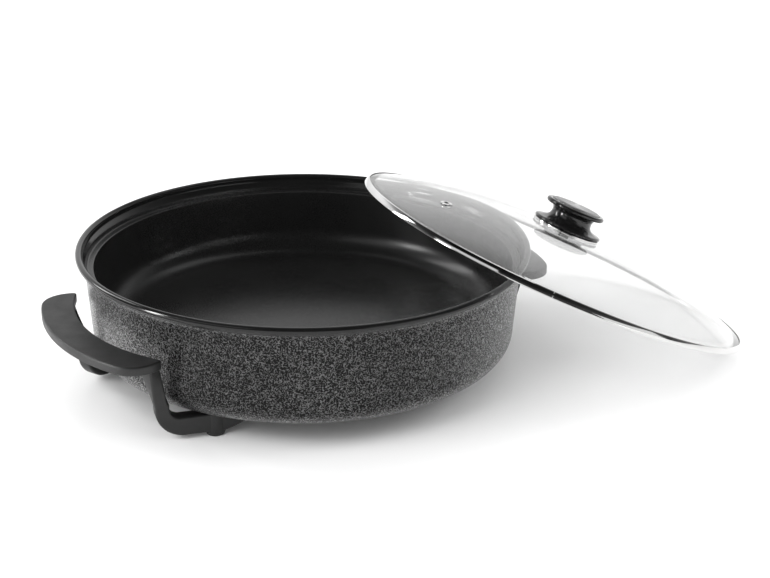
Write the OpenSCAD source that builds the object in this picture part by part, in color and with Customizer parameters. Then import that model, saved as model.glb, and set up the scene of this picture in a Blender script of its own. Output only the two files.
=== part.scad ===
// Electric pizza maker: a round double-skinned pan on two handles with legs,
// with a glass lid that leans on its rim and a plug-in thermostat at the back.
// Millimetres, +Z up, z = 0 is the surface it stands on.

/* [Pan] */
// Outside diameter over the rolled lip
lip_d = 410; // [408:1:412]
// Height of the lip above the table
lip_h = 118; // [117:0.5:119]
// Radius of the rolled bead of the lip
bead_r = 3; // [2.8:0.1:3.2]
// Radius of the inner edge of the lid ledge
ledge_r = 189.2; // [188:0.1:190]
// Depth of the lid ledge below the lip
ledge_drop = 15.5; // [15:0.5:16]
// Thickness of the pan sheet
pan_t = 1.5; // [1.3:0.1:1.6]
// Thickness of the cooking floor
floor_t = 3.5; // [3:0.5:4]
// Height of the cooking floor above the table
floor_z = 41.5; // [41:0.5:43]

/* [Outer shell] */
// Outside radius of the shell just under the lip
shell_r_top = 197.3; // [197.2:0.1:197.4]
// Outside radius of the shell where the bottom corner begins
shell_r_low = 192.8; // [192.5:0.1:193.2]
// Radius of the rounded bottom corner
shell_corner = 21.4; // [20:0.2:22]
// Height of the underside above the table
shell_z = 21.1; // [20.6:0.1:21.6]
// Thickness of the shell sheet
shell_t = 0.7; // [0.6:0.1:0.7]

/* [Handles] */
// Direction of the left handle seen from above
handle_az = -145.8; // [-148:0.1:-144]
// Half of the angle that the grip plate spans
grip_half = 25; // [24:0.5:26]
// Height of the top of the grip plate
grip_z = 76.8; // [75:0.2:79]
// Thickness of the grip plate
grip_t = 8; // [7:0.5:9]
// Angle between the middle of the grip and the middle of its two legs
leg_shift = 3.2; // [2.6:0.1:3.6]
// Width of a leg
leg_w = 13; // [12:0.5:14]
// Diameter of a foot post
post_d = 17; // [16:0.5:18]

/* [Lid] */
// Outside radius of the steel band
lid_r = 194.5; // [194:0.1:194.7]
// Rise of the glass dome above the band
dome_h = 29; // [27:0.5:30]
// Fullness of the dome: 2 is a plain cap, more gives fuller shoulders
dome_p = 2.3; // [2.1:0.1:2.6]
// Height of the band
band_h = 5.8; // [5.4:0.1:6.2]
// Thickness of the glass
glass_t = 4; // [3.5:0.5:4]
// Tilt of the leaning lid
lid_tilt = 23.72; // [23.7:0.01:23.8]
// Direction that the leaning lid slopes down to
lid_az = 20.36; // [20.3:0.01:20.4]

/* [Thermostat] */
// Direction of the socket seen from above
inlet_az = 124.2; // [123:0.1:126]
// Width of the controller
ctl_w = 52; // [50:1:54]
// Length of the controller outside the socket
ctl_l = 92; // [88:1:96]
// Diameter of the dial
dial_d = 38; // [36:1:40]
// Bore of the cord outlet
cord_bore = 7.2; // [7:0.1:7.5]

/* [Hidden] */
$fn = 96;

// The pan's centre in the frame whose origin is the middle of the footprint
pan_x = -93.2;
pan_y = -36.8;
lip_r = lip_d / 2;

module at_pan() { translate([pan_x, pan_y, 0]) children(); }
module at_az(a) { at_pan() rotate([0, 0, a]) children(); }

// Points of an arc, from angle a to angle b, in n steps
function arc(cx, cy, r, a, b, n = 8) =
  [for (i = [0:n]) [cx + r * cos(a + (b - a) * i / n), cy + r * sin(a + (b - a) * i / n)]];

// ---------------------------------------------------------------- pan
ledge_z = lip_h - ledge_drop;
bead_x = lip_r - bead_r;
pan_fillet = 24;
pan_r_low = ledge_r - 2.6;

module cooking_pan() {
  color([0.07, 0.07, 0.075]) at_pan() difference() {
    rotate_extrude($fn = 180) union() {
      translate([bead_x, lip_h - bead_r]) circle(r = bead_r, $fn = 32);
      polygon(concat(
        // inside, from the bead down to the floor
        [[lip_r - 2 * bead_r + 0.2, lip_h - bead_r], [lip_r - 2 * bead_r - 0.1, lip_h - 6.4],
         [ledge_r + 7, lip_h - 10.6], [ledge_r + 6.2, ledge_z + 1.6]],
        arc(ledge_r + 4.8, ledge_z + 1.4, 1.4, 0, -90, 3),
        arc(ledge_r + 1.2, ledge_z - 1.2, 1.2, 90, 180, 4),
        arc(pan_r_low - pan_fillet, floor_z + pan_fillet, pan_fillet, 0, -90, 8),
        [[0, floor_z], [0, floor_z - floor_t]],
        // outside, from the floor back up to the bead
        arc(pan_r_low - pan_fillet, floor_z + pan_fillet, pan_fillet + floor_t, -90, -45, 4),
        arc(pan_r_low - pan_fillet, floor_z + pan_fillet, pan_fillet + pan_t + 0.4, -22, 0, 3),
        [[ledge_r + pan_t, ledge_z - pan_t - 1.2], [ledge_r + 5.9, ledge_z - 1.1],
         [ledge_r + 7.1, ledge_z + 0.7], [ledge_r + 7.9, lip_h - 10.9],
         [bead_x - 0.8, lip_h - 2 * bead_r + 0.5], [bead_x, lip_h - bead_r]]));
    }
  }
}

// Radius of the shell's outside at a height above its corner
function shell_r(z) = shell_r_low + (shell_r_top - shell_r_low)
  * (z - shell_z - shell_corner) / (ledge_z + 1.5 - shell_z - shell_corner);

function shell_side(t) = concat(
  [[bead_x - 0.2 - t * 0.9, lip_h - 2 * bead_r - 0.35 + t * 0.3],
   [shell_r_top + 1 - t, lip_h - 10.9], [shell_r_top - t, ledge_z + 1.5]],
  arc(shell_r_low - shell_corner, shell_z + shell_corner, shell_corner - t, 0, -90, 10));

stud_pcd = 220;
inlet_z = 31;
shroud_w = 62;
shroud_z0 = 18.5;
shroud_z1 = 43.5;
post_lat = 81.5;
post_along = 146.4;

module outer_shell() {
  color([0.2, 0.2, 0.21]) difference() {
    at_pan() rotate_extrude($fn = 180)
      polygon(concat(shell_side(0), [[0, shell_z], [0, shell_z + shell_t]],
        [for (i = [0:len(shell_side(shell_t)) - 1])
          shell_side(shell_t)[len(shell_side(shell_t)) - 1 - i]]));
    // cut-out for the inlet
    at_az(inlet_az) translate([179.6, -shroud_w / 2 - 0.4, 5])
      cube([40, shroud_w + 0.8, shroud_z1 + 0.4 - 5]);
    // stud holes
    at_az(inlet_az) for (a = [60, 180, 300]) rotate([0, 0, a])
      translate([stud_pcd / 2, 0, shell_z - 1]) cylinder(r = 3.2, h = 4, $fn = 32);
    // handle screw holes
    for (h = [0, 180]) at_az(handle_az + leg_shift + h) for (s = [-1, 1])
      translate([post_along, s * post_lat, shell_z - 1]) cylinder(r = 2.7, h = 5, $fn = 32);
  }
}

module heat_spreader() {
  color([0.72, 0.73, 0.75]) difference() {
    at_pan() translate([0, 0, floor_z - floor_t - 3]) cylinder(r = 150, h = 3, $fn = 180);
    at_az(inlet_az) for (a = [60, 180, 300]) rotate([0, 0, a])
      translate([stud_pcd / 2, 0, 30]) cylinder(r = 5.2, h = 12, $fn = 32);
  }
}

elem_r = 84;
elem_t = 3.9;
elem_z = floor_z - floor_t - 3.45 - elem_t;
pin_off = 14;
elem_gap = 19;

// Sheathed ring whose two ends enter crimp collars, with a straight cold tail from each collar to its pin
module heating_element() {
  color([0.36, 0.35, 0.34]) at_az(inlet_az) translate([0, 0, elem_z]) {
    rotate([0, 0, elem_gap]) rotate_extrude(angle = 360 - 2 * elem_gap, $fn = 180)
      translate([elem_r, 0]) circle(r = elem_t, $fn = 32);
    x0 = elem_r * cos(elem_gap);
    y0 = elem_r * sin(elem_gap);
    len_ = sqrt(pow(169.4 - x0, 2) + pow(y0 - pin_off, 2));
    for (s = [-1, 1]) translate([x0, s * y0, 0]) {
      translate([0, 0, -4.2]) cylinder(r = 7, h = 8.4, $fn = 48);
      rotate([0, 0, atan2(s * (pin_off - y0), 169.4 - x0)]) rotate([0, 90, 0])
        cylinder(r = elem_t - 0.5, h = len_, $fn = 32);
    }
  }
}

module element_clamps() {
  color([0.62, 0.63, 0.64]) at_az(inlet_az) for (a = [50, 130, 230, 310]) rotate([0, 0, a])
    difference() {
      union() {
        translate([elem_r - 5, -5, elem_z - elem_t - 1.2]) cube([10, 10, 2 * elem_t + 1.2]);
        translate([elem_r - 13, -5, elem_z + elem_t - 0.75]) cube([26, 10, 1.2]);
      }
      rotate([0, 0, -20]) translate([0, 0, elem_z]) rotate_extrude(angle = 40, $fn = 180)
        translate([elem_r, 0]) circle(r = elem_t + 0.06, $fn = 32);
    }
}

// Tube brazed under the spreader that the probe of the controller slides into
module probe_sleeve() {
  color([0.66, 0.66, 0.66]) at_az(inlet_az) translate([118, 0, inlet_z]) rotate([0, 90, 0])
    difference() {
      cylinder(r = 4, h = 52, $fn = 48);
      translate([0, 0, 1.5]) cylinder(r = 2.9, h = 52, $fn = 48);
    }
}

module shell_studs() {
  color([0.68, 0.68, 0.7]) at_az(inlet_az) for (a = [60, 180, 300]) rotate([0, 0, a])
    translate([stud_pcd / 2, 0, 0]) {
      translate([0, 0, 12.5]) cylinder(r = 2.5, h = floor_z - floor_t - 12.5, $fn = 32);
      translate([0, 0, shell_z + shell_t])
        cylinder(r = 5, h = floor_z - floor_t - shell_z - shell_t, $fn = 32);
    }
}

module shell_nuts() {
  color([0.74, 0.74, 0.76]) at_az(inlet_az) for (a = [60, 180, 300]) rotate([0, 0, a])
    translate([stud_pcd / 2, 0, 0]) difference() {
      union() {
        translate([0, 0, shell_z - 1.2]) cylinder(r = 7, h = 1.2, $fn = 48);
        translate([0, 0, shell_z - 5.2]) cylinder(r = 4.6, h = 4, $fn = 6);
      }
      translate([0, 0, 10]) cylinder(r = 2.5, h = 14, $fn = 32);
    }
}

// ---------------------------------------------------------------- socket
module rbox(x, y, z, r, n = 24) {
  // box along X with its four long edges rounded
  translate([0, 0, 0]) rotate([90, 0, 90]) linear_extrude(x) union() {
    translate([-y / 2 + r, -z / 2]) square([y - 2 * r, z]);
    translate([-y / 2, -z / 2 + r]) square([y, z - 2 * r]);
    for (a = [-1, 1], b = [-1, 1])
      translate([a * (y / 2 - r), b * (z / 2 - r)]) circle(r = r, $fn = n);
  }
}

shroud_h = shroud_z1 - shroud_z0;
shroud_zc = (shroud_z0 + shroud_z1) / 2;

module inlet_shroud() {
  color([0.05, 0.05, 0.055]) at_az(inlet_az) difference() {
    union() {
      translate([180.2, 0, shroud_zc]) rbox(30, shroud_w, shroud_h, 6);
      translate([206.2, 0, shroud_zc]) rbox(4, shroud_w + 5, shroud_h + 5, 8);
    }
    translate([185.2, 0, shroud_zc]) rbox(40, shroud_w - 6, shroud_h - 6, 4);
    for (s = [-1, 1]) translate([170, s * pin_off, inlet_z]) rotate([0, 90, 0])
      cylinder(r = 3.05, h = 30, $fn = 32);
    translate([170, 0, inlet_z]) rotate([0, 90, 0]) cylinder(r = 3.4, h = 30, $fn = 32);
    // screw bosses' holes
    for (s = [-1, 1]) translate([170, s * 24, inlet_z]) rotate([0, 90, 0])
      cylinder(r = 1.6, h = 30, $fn = 24);
  }
}

module inlet_bracket() {
  color([0.6, 0.61, 0.62]) at_az(inlet_az) difference() {
    union() {
      translate([178.6, -29, 26]) cube([1.4, 58, 10]);
      for (s = [-1, 1]) translate([140, s * 24 - 5, floor_z - floor_t - 3 - 1.2])
        cube([40, 10, 1.2]);
    }
    for (s = [-1, 1]) translate([170, s * pin_off, inlet_z]) rotate([0, 90, 0])
      cylinder(r = 4.2, h = 30, $fn = 32);
    translate([170, 0, inlet_z]) rotate([0, 90, 0]) cylinder(r = 4.2, h = 30, $fn = 32);
    for (s = [-1, 1]) translate([170, s * 24, inlet_z]) rotate([0, 90, 0])
      cylinder(r = 1.6, h = 30, $fn = 24);
  }
}

module inlet_screws() {
  color([0.7, 0.7, 0.72]) at_az(inlet_az) for (s = [-1, 1])
    translate([0, s * 24, inlet_z]) rotate([0, 90, 0]) {
      translate([0, 0, 176]) cylinder(r = 1.6, h = 10, $fn = 24);
      difference() {
        translate([0, 0, 185.2]) cylinder(r = 3, h = 2, $fn = 32);
        translate([-0.4, -2.2, 186.4]) cube([0.8, 4.4, 2]);
        translate([-2.2, -0.4, 186.4]) cube([4.4, 0.8, 2]);
      }
    }
}

module terminal_pins() {
  color([0.78, 0.78, 0.78]) at_az(inlet_az) for (s = [-1, 1])
    translate([170, s * pin_off, inlet_z]) rotate([0, 90, 0]) {
      cylinder(r = 3, h = 30, $fn = 48);
      translate([0, 0, 30]) cylinder(r1 = 3, r2 = 1.8, h = 1.6, $fn = 48);
    }
}

module earth_contact() {
  color([0.75, 0.72, 0.6]) at_az(inlet_az) {
    translate([185.4, -6, shroud_z1 - 3 - 0.8]) cube([17, 12, 0.8]);
    translate([185.4, -6, inlet_z + 5]) cube([0.8, 12, shroud_z1 - 3 - inlet_z - 5]);
  }
}

// ---------------------------------------------------------------- handles
grip_off = 52.5;
grip_ri = 159.3;
grip_ro = 188.1;
grip_corner = 24;

function grip_r(rho, t) = grip_off * cos(t) + sqrt(rho * rho - pow(grip_off * sin(t), 2));
function corner_cut(s, rc) = s < rc ? rc - sqrt(max(rc * rc - (rc - s) * (rc - s), 0)) : 0;
function grip_outline(n = 36, g = 0) = concat(
  [for (i = [0:n]) let (t = -grip_half + 2 * grip_half * i / n,
      r = grip_r(grip_ri, t), s = (grip_half - abs(t)) * r * PI / 180)
    [(r + corner_cut(s, 3)) * cos(t), (r + corner_cut(s, 3)) * sin(t)]],
  [for (i = [0:n]) let (t = grip_half - 2 * grip_half * i / n,
      r = grip_r(grip_ro, t), s = (grip_half - abs(t)) * r * PI / 180)
    [(r - corner_cut(s, grip_corner)) * cos(t), (r - corner_cut(s, grip_corner)) * sin(t)]]);

splay = 19;
bar_m = 125;
bend_s = -138;
bend_r = 25;
bar_z0 = 4;
bar_z1 = shell_z - 0.1;
leg_in = bend_s - bend_r + 12;

// One leg, drawn for the +Y side of the handle
module leg() {
  // bend and bar: a flat profile that stands on edge; +X runs in under the pan
  rotate([0, 0, 180 - splay]) translate([0, -bar_m + leg_w / 2, 0]) rotate([90, 0, 0])
    linear_extrude(leg_w) polygon(concat(
      arc(bend_s, bar_z0 + bend_r, bend_r, 180, 270, 8),
      [[-104, bar_z0], [-80, 13], [-80, bar_z1]],
      arc(leg_in + 9, bar_z1 + 9, 9, -90, -180, 5),
      [[leg_in, 34], [bend_s - bend_r, 34]]));
  // upright: from the bend to the underside of the grip
  hull() {
    rotate([0, 0, 180 - splay])
      translate([bend_s - bend_r + 0.3, -bar_m - leg_w / 2 + 0.3, 30])
      cube([11.4, leg_w - 0.6, 2]);
    rotate([0, 0, 19.4]) translate([207.8, -leg_w / 2 + 0.3, grip_z - grip_t - 1])
      cube([11.6, leg_w - 0.6, 2]);
  }
  // foot post
  translate([post_along, post_lat, 1]) cylinder(d = post_d, h = shell_z - 1.05, $fn = 64);
}

module handle_blank() {
  difference() {
    union() {
      translate([0, 0, grip_z - grip_t]) linear_extrude(grip_t) polygon(grip_outline());
      rotate([0, 0, leg_shift]) { leg(); mirror([0, 1, 0]) leg(); }
    }
    rotate([0, 0, leg_shift]) for (s = [-1, 1]) translate([post_along, s * post_lat, 0]) {
      cylinder(r = 2.6, h = 40, $fn = 32);
      translate([0, 0, -1]) cylinder(r = 5, h = 10, $fn = 48);
    }
  }
}

module left_handle() { color([0.09, 0.09, 0.095]) at_az(handle_az) handle_blank(); }
module right_handle() { color([0.09, 0.09, 0.095]) at_az(handle_az + 180) handle_blank(); }

module at_posts() {
  for (h = [0, 180]) at_az(handle_az + leg_shift + h) for (s = [-1, 1])
    translate([post_along, s * post_lat, 0]) children();
}

module handle_screws() {
  color([0.7, 0.7, 0.72]) at_posts() difference() {
    union() {
      translate([0, 0, 6]) cylinder(r = 4.4, h = 3, $fn = 48);
      translate([0, 0, 8]) cylinder(r = 2.5, h = 20, $fn = 32);
    }
    translate([0, 0, 5]) cylinder(r = 2, h = 2.4, $fn = 6);
  }
}

module handle_nuts() {
  color([0.72, 0.72, 0.74]) at_posts() difference() {
    translate([0, 0, shell_z + shell_t + 0.02]) cylinder(r = 5, h = 4.5, $fn = 6);
    translate([0, 0, 20]) cylinder(r = 2.5, h = 10, $fn = 32);
  }
}

module foot_pads() {
  color([0.12, 0.12, 0.12]) at_posts() {
    cylinder(r = 7.6, h = 1, $fn = 48);
    translate([0, 0, 0.5]) cylinder(r = 4.95, h = 4.5, $fn = 48);
  }
}

// ---------------------------------------------------------------- lid
lid_c = [234.4, 61.8, lip_h - 37.1];
glass_r = lid_r - 1.6;
function dome_z(r) = dome_h * (1 - pow(r / glass_r, dome_p)) + band_h / 2 - 1;
apex = dome_z(0);

module at_lid() {
  at_pan() translate(lid_c) rotate([0, 0, lid_az]) rotate([0, lid_tilt, 0]) children();
}

vent_x = -136;
vent_y = -12.5;

module lid_glass() {
  color([0.85, 0.88, 0.9, 0.35]) at_lid() difference() {
    rotate_extrude($fn = 180) polygon(concat(
      [for (i = [0:20]) [glass_r * i / 20, dome_z(glass_r * i / 20)]],
      [[glass_r, band_h / 2 - 1 - 3.2], [glass_r - 4, band_h / 2 - 1 - 3.2]],
      [for (i = [0:20]) let (r = (glass_r - 5) * (1 - i / 20)) [r, dome_z(r) - glass_t]]));
    translate([0, 0, -2]) cylinder(r = 3.6, h = 60, $fn = 32);
    translate([vent_x, vent_y, -2]) cylinder(r = 4.2, h = 60, $fn = 32);
  }
}

module lid_band() {
  color([0.85, 0.85, 0.86]) at_lid() rotate_extrude($fn = 180) polygon([
    [lid_r - 0.8, -band_h / 2], [lid_r, -band_h / 2 + 0.8], [lid_r - 1.1, band_h / 2 - 0.8],
    [lid_r - 1.9, band_h / 2], [lid_r - 3.1, band_h / 2 + 0.55], [lid_r - 3.2, band_h / 2],
    [lid_r - 1.45, band_h / 2 - 0.85], [glass_r + 0.1, -band_h / 2 + 0.7],
    [lid_r - 5.2, -band_h / 2 + 0.7], [lid_r - 5.2, -band_h / 2]]);
}

vent_r = sqrt(vent_x * vent_x + vent_y * vent_y);
vent_slope = atan(dome_h * dome_p * pow(vent_r / glass_r, dome_p - 1) / glass_r);

module at_vent() {
  translate([vent_x, vent_y, dome_z(vent_r)]) rotate([0, 0, atan2(vent_y, vent_x)])
    rotate([0, vent_slope, 0]) children();
}

module vent_eyelet() {
  color([0.8, 0.8, 0.82]) at_lid() at_vent() rotate_extrude($fn = 48) polygon([
    [2.4, -5.6], [5, -5.6], [5, -4.9], [3.4, -4.6], [3.4, 0.1], [5.6, 0.2], [5.6, 0.7],
    [4.6, 1.1], [3, 1], [2.4, 0.4]]);
}

function ring_z(r) = dome_z(r) - apex + 0.05;

module knob_base_ring() {
  color([0.86, 0.86, 0.87]) at_lid() translate([0, 0, apex]) difference() {
    rotate_extrude($fn = 96) polygon([[26, ring_z(26)], [29.6, ring_z(29.6)],
      [33.2, ring_z(33.2)], [33.2, 0.8], [32.8, 1.2], [26, 1.2]]);
  }
}

module knob_body() {
  color([0.04, 0.04, 0.045]) at_lid() translate([0, 0, apex]) difference() {
    rotate_extrude($fn = 96) polygon(concat(
      [[0, 0.1], [25.8, 0.1], [25.8, 1.3], [32.2, 1.3]],
      arc(31.7, 3.1, 1.5, -65, 65, 5),
      [[30, 5.2], [26.5, 6.3], [23.4, 7.9], [21.2, 9.9], [20.2, 12], [20, 13.6], [20.4, 15.4],
       [21.8, 17.3], [24.2, 18.5]],
      arc(26.8, 21.2, 2.3, -80, 80, 7),
      [[25, 23.6], [24.2, 23.6], [24.2, 22.4], [0, 22.4]]));
    translate([0, 0, -1]) cylinder(r = 2.6, h = 18, $fn = 32);
  }
}

module knob_cap() {
  color([0.4, 0.4, 0.41]) at_lid() translate([0, 0, apex]) rotate_extrude($fn = 96)
    polygon([[0, 22.5], [24, 22.5], [24, 24.2], [23, 24.8], [14, 25.6], [0, 25.9]]);
}

module knob_gasket() {
  color([0.5, 0.5, 0.5]) at_lid() translate([0, 0, apex]) difference() {
    translate([0, 0, -glass_t - 1.6]) cylinder(r = 13, h = 1.3, $fn = 64);
    translate([0, 0, -glass_t - 3]) cylinder(r = 2.7, h = 5, $fn = 32);
  }
}

module knob_washer() {
  color([0.8, 0.8, 0.81]) at_lid() translate([0, 0, apex]) difference() {
    translate([0, 0, -glass_t - 3]) cylinder(r = 12, h = 1.4, $fn = 64);
    translate([0, 0, -glass_t - 4]) cylinder(r = 2.7, h = 5, $fn = 32);
  }
}

module knob_screw() {
  color([0.75, 0.75, 0.76]) at_lid() translate([0, 0, apex]) difference() {
    union() {
      translate([0, 0, -glass_t - 5.6]) cylinder(r = 5, h = 2.6, $fn = 48);
      translate([0, 0, -glass_t - 4]) cylinder(r = 2.5, h = glass_t + 18, $fn = 32);
    }
    translate([-3.4, -0.5, -glass_t - 6]) cube([6.8, 1, 1.6]);
    translate([-0.5, -3.4, -glass_t - 6]) cube([1, 6.8, 1.6]);
  }
}

// ---------------------------------------------------------------- controller
ctl_x = 211.4;
nose_x = 188.6;
ctl_zc = inlet_z;
ctl_h = 30;
dial_x = ctl_x + 48;

// Outline of the controller seen from above
function ctl_outline(g = 0) = concat(
  [[ctl_x, -ctl_w / 2 + g]],
  [[ctl_x + ctl_l * 0.55, -ctl_w / 2 + g]],
  [for (i = [1:7]) [ctl_x + ctl_l * 0.55 + (ctl_l * 0.45 - g) * sin(90 * i / 7),
    -(ctl_w / 2 - g) + (ctl_w / 2 - 13) * (1 - cos(90 * i / 7))]],
  [for (i = [7:-1:1]) [ctl_x + ctl_l * 0.55 + (ctl_l * 0.45 - g) * sin(90 * i / 7),
    (ctl_w / 2 - g) - (ctl_w / 2 - 13) * (1 - cos(90 * i / 7))]],
  [[ctl_x + ctl_l * 0.55, ctl_w / 2 - g], [ctl_x, ctl_w / 2 - g]]);

module ctl_half(z0, z1) {
  difference() {
    translate([0, 0, z0]) linear_extrude(z1 - z0) polygon(ctl_outline());
    translate([0, 0, z0 < ctl_zc - 1 ? z0 + 2.5 : z0 - 1])
      linear_extrude(z1 - z0 - (z0 < ctl_zc - 1 ? 1.5 : 1.5)) intersection() {
        polygon(ctl_outline(2.5));
        translate([ctl_x + 2.5, -100]) square([ctl_l - 16, 200]);
      }
  }
}

cord_x = ctl_x + ctl_l;

module controller_base() {
  color([0.05, 0.05, 0.055]) at_az(inlet_az) difference() {
    union() {
      ctl_half(ctl_zc - ctl_h / 2, ctl_zc);
      // nose that fills the socket
      translate([nose_x, 0, shroud_zc]) rbox(ctl_x - nose_x + 0.01, shroud_w - 8, shroud_h - 8, 3.5);
      for (s = [-1, 1]) translate([ctl_x + 22, s * 21, ctl_zc - ctl_h / 2])
        cylinder(r = 3.6, h = ctl_h / 2, $fn = 32);
    }
    for (s = [-1, 1]) translate([nose_x - 1, s * pin_off, inlet_z]) rotate([0, 90, 0])
      cylinder(r = 4.25, h = ctl_x - nose_x + 0.8, $fn = 48);
    translate([nose_x - 1, 0, inlet_z]) rotate([0, 90, 0]) cylinder(r = 2.55, h = 30, $fn = 48);
    // room over the earth contact
    translate([nose_x - 1, -7, shroud_z1 - 3 - 2.2]) cube([16, 14, 4]);
    for (s = [-1, 1]) translate([ctl_x + 22, s * 21, 0]) {
      cylinder(r = 1.6, h = 80, $fn = 24);
      cylinder(r = 3, h = ctl_zc - ctl_h / 2 + 3, $fn = 32);
    }
    translate([cord_x - 15, 0, ctl_zc]) rotate([0, 90, 0]) cylinder(r = 6.5, h = 40, $fn = 48);
    // joint line with the cover, ahead of the bodies
    translate([ctl_x - 0.01, -40, ctl_zc]) cube([ctl_l + 20, 80, 40]);
  }
}

module controller_cover() {
  color([0.05, 0.05, 0.055]) at_az(inlet_az) difference() {
    union() {
      ctl_half(ctl_zc, ctl_zc + ctl_h / 2);
      translate([dial_x, 0, ctl_zc + ctl_h / 2 - 1]) cylinder(r = dial_d / 2 + 3, h = 2, $fn = 96);
      for (s = [-1, 1]) translate([ctl_x + 22, s * 21, ctl_zc]) cylinder(r = 3.6, h = 14, $fn = 32);
    }
    translate([dial_x, 0, ctl_zc]) cylinder(r = 4.05, h = 40, $fn = 48);
    translate([ctl_x + 14, 0, ctl_zc]) cylinder(r = 4.1, h = 40, $fn = 48);
    for (s = [-1, 1]) translate([ctl_x + 22, s * 21, ctl_zc - 1]) cylinder(r = 1.3, h = 11, $fn = 24);
    translate([cord_x - 15, 0, ctl_zc]) rotate([0, 90, 0]) cylinder(r = 6.5, h = 40, $fn = 48);
  }
}

module controller_screws() {
  color([0.6, 0.6, 0.62]) at_az(inlet_az) for (s = [-1, 1]) translate([ctl_x + 22, s * 21, 0])
    difference() {
      union() {
        translate([0, 0, ctl_zc - ctl_h / 2 + 0.8]) cylinder(r = 2.8, h = 2.2, $fn = 32);
        translate([0, 0, ctl_zc - ctl_h / 2 + 2]) cylinder(r = 1.3, h = 20, $fn = 24);
      }
      translate([-2, -0.35, ctl_zc - ctl_h / 2]) cube([4, 0.7, 1.8]);
      translate([-0.35, -2, ctl_zc - ctl_h / 2]) cube([0.7, 4, 1.8]);
    }
}

module contact_sleeves() {
  color([0.78, 0.66, 0.36]) at_az(inlet_az) for (s = [-1, 1])
    translate([nose_x + 1, s * pin_off, inlet_z]) rotate([0, 90, 0]) difference() {
      cylinder(r = 4.2, h = ctl_x - nose_x - 1.3, $fn = 48);
      translate([0, 0, -1]) cylinder(r = 3.08, h = 20, $fn = 48);
    }
}

module probe_tube() {
  color([0.8, 0.8, 0.8]) at_az(inlet_az) translate([0, 0, inlet_z]) {
    translate([126, 0, 0]) rotate([0, 90, 0]) cylinder(r = 2.5, h = ctl_x - 126 - 0.2, $fn = 48);
    translate([126, 0, 0]) sphere(r = 2.5, $fn = 48);
  }
}

module thermostat_switch() {
  color([0.85, 0.82, 0.74]) at_az(inlet_az) {
    translate([ctl_x + 3.5, -15, ctl_zc - 9]) cube([58, 30, 14]);
    for (s = [-1, 1]) translate([ctl_x + 62, s * 8 - 3, ctl_zc - 4]) cube([9, 6, 1.2]);
  }
}

module pilot_lens() {
  color([0.9, 0.25, 0.1]) at_az(inlet_az) translate([ctl_x + 14, 0, 0]) {
    translate([0, 0, ctl_zc + 8]) cylinder(r = 4, h = ctl_h / 2 - 8, $fn = 48);
    translate([0, 0, ctl_zc + ctl_h / 2]) rotate_extrude($fn = 48)
      polygon(concat([[0, 0], [4.6, 0]], arc(0, -2.6, 5.3, 31, 90, 5)));
  }
}

module cord_bushing() {
  color([0.08, 0.08, 0.08]) at_az(inlet_az) translate([cord_x - 14, 0, ctl_zc])
    rotate([0, 90, 0]) difference() {
      union() {
        cylinder(r = 6.5, h = 14, $fn = 48);
        translate([0, 0, 14]) cylinder(r1 = 6.5, r2 = 5, h = 30, $fn = 48);
      }
      translate([0, 0, -1]) cylinder(d = cord_bore, h = 60, $fn = 48);
      for (i = [0:3]) translate([0, 0, 19 + i * 6]) difference() {
        cylinder(r = 9, h = 2, $fn = 48);
        cylinder(r = 4.6, h = 2, $fn = 48);
      }
    }
}

module dial_spindle() {
  color([0.75, 0.68, 0.45]) at_az(inlet_az) translate([dial_x, 0, 0]) difference() {
    translate([0, 0, ctl_zc + 5.5]) cylinder(r = 4, h = 18.5, $fn = 48);
    translate([2.6, -5, ctl_zc + 17]) cube([5, 10, 20]);
  }
}

module control_dial() {
  color([0.06, 0.06, 0.065]) at_az(inlet_az) translate([dial_x, 0, ctl_zc + ctl_h / 2 + 1.5])
    difference() {
      union() {
        cylinder(r = dial_d / 2, h = 3, $fn = 96);
        translate([0, 0, 3]) cylinder(r1 = dial_d / 2 - 1, r2 = dial_d / 2 - 3, h = 9, $fn = 96);
      }
      translate([0, 0, -1]) cylinder(r = 4.02, h = 8.6, $fn = 48);
      for (a = [0:20:340]) rotate([0, 0, a]) translate([dial_d / 2 + 0.9, 0, 3.2])
        cylinder(r = 2, h = 12, $fn = 24);
    }
}

cooking_pan();
outer_shell();
heat_spreader();
heating_element();
element_clamps();
probe_sleeve();
shell_studs();
shell_nuts();
inlet_shroud();
inlet_bracket();
inlet_screws();
terminal_pins();
earth_contact();
left_handle();
right_handle();
handle_screws();
handle_nuts();
foot_pads();
lid_glass();
lid_band();
vent_eyelet();
knob_base_ring();
knob_body();
knob_cap();
knob_gasket();
knob_washer();
knob_screw();
controller_base();
controller_cover();
controller_screws();
contact_sleeves();
probe_tube();
thermostat_switch();
pilot_lens();
cord_bushing();
dial_spindle();
control_dial();
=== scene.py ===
import math

import bmesh
import bpy
import numpy as np
from mathutils import Matrix, Vector


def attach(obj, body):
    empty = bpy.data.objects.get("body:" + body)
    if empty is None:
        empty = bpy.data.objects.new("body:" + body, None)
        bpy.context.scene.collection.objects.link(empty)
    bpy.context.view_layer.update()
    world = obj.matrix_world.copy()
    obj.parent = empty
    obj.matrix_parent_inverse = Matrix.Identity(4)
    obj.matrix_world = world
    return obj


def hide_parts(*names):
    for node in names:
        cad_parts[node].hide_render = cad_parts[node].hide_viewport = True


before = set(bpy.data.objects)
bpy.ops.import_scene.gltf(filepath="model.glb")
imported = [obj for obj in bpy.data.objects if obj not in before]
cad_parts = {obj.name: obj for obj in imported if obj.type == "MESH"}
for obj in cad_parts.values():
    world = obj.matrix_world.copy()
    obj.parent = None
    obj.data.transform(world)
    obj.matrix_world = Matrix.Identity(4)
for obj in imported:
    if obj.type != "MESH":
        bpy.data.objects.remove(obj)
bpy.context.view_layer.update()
rad = math.radians
MM = 0.001

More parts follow.
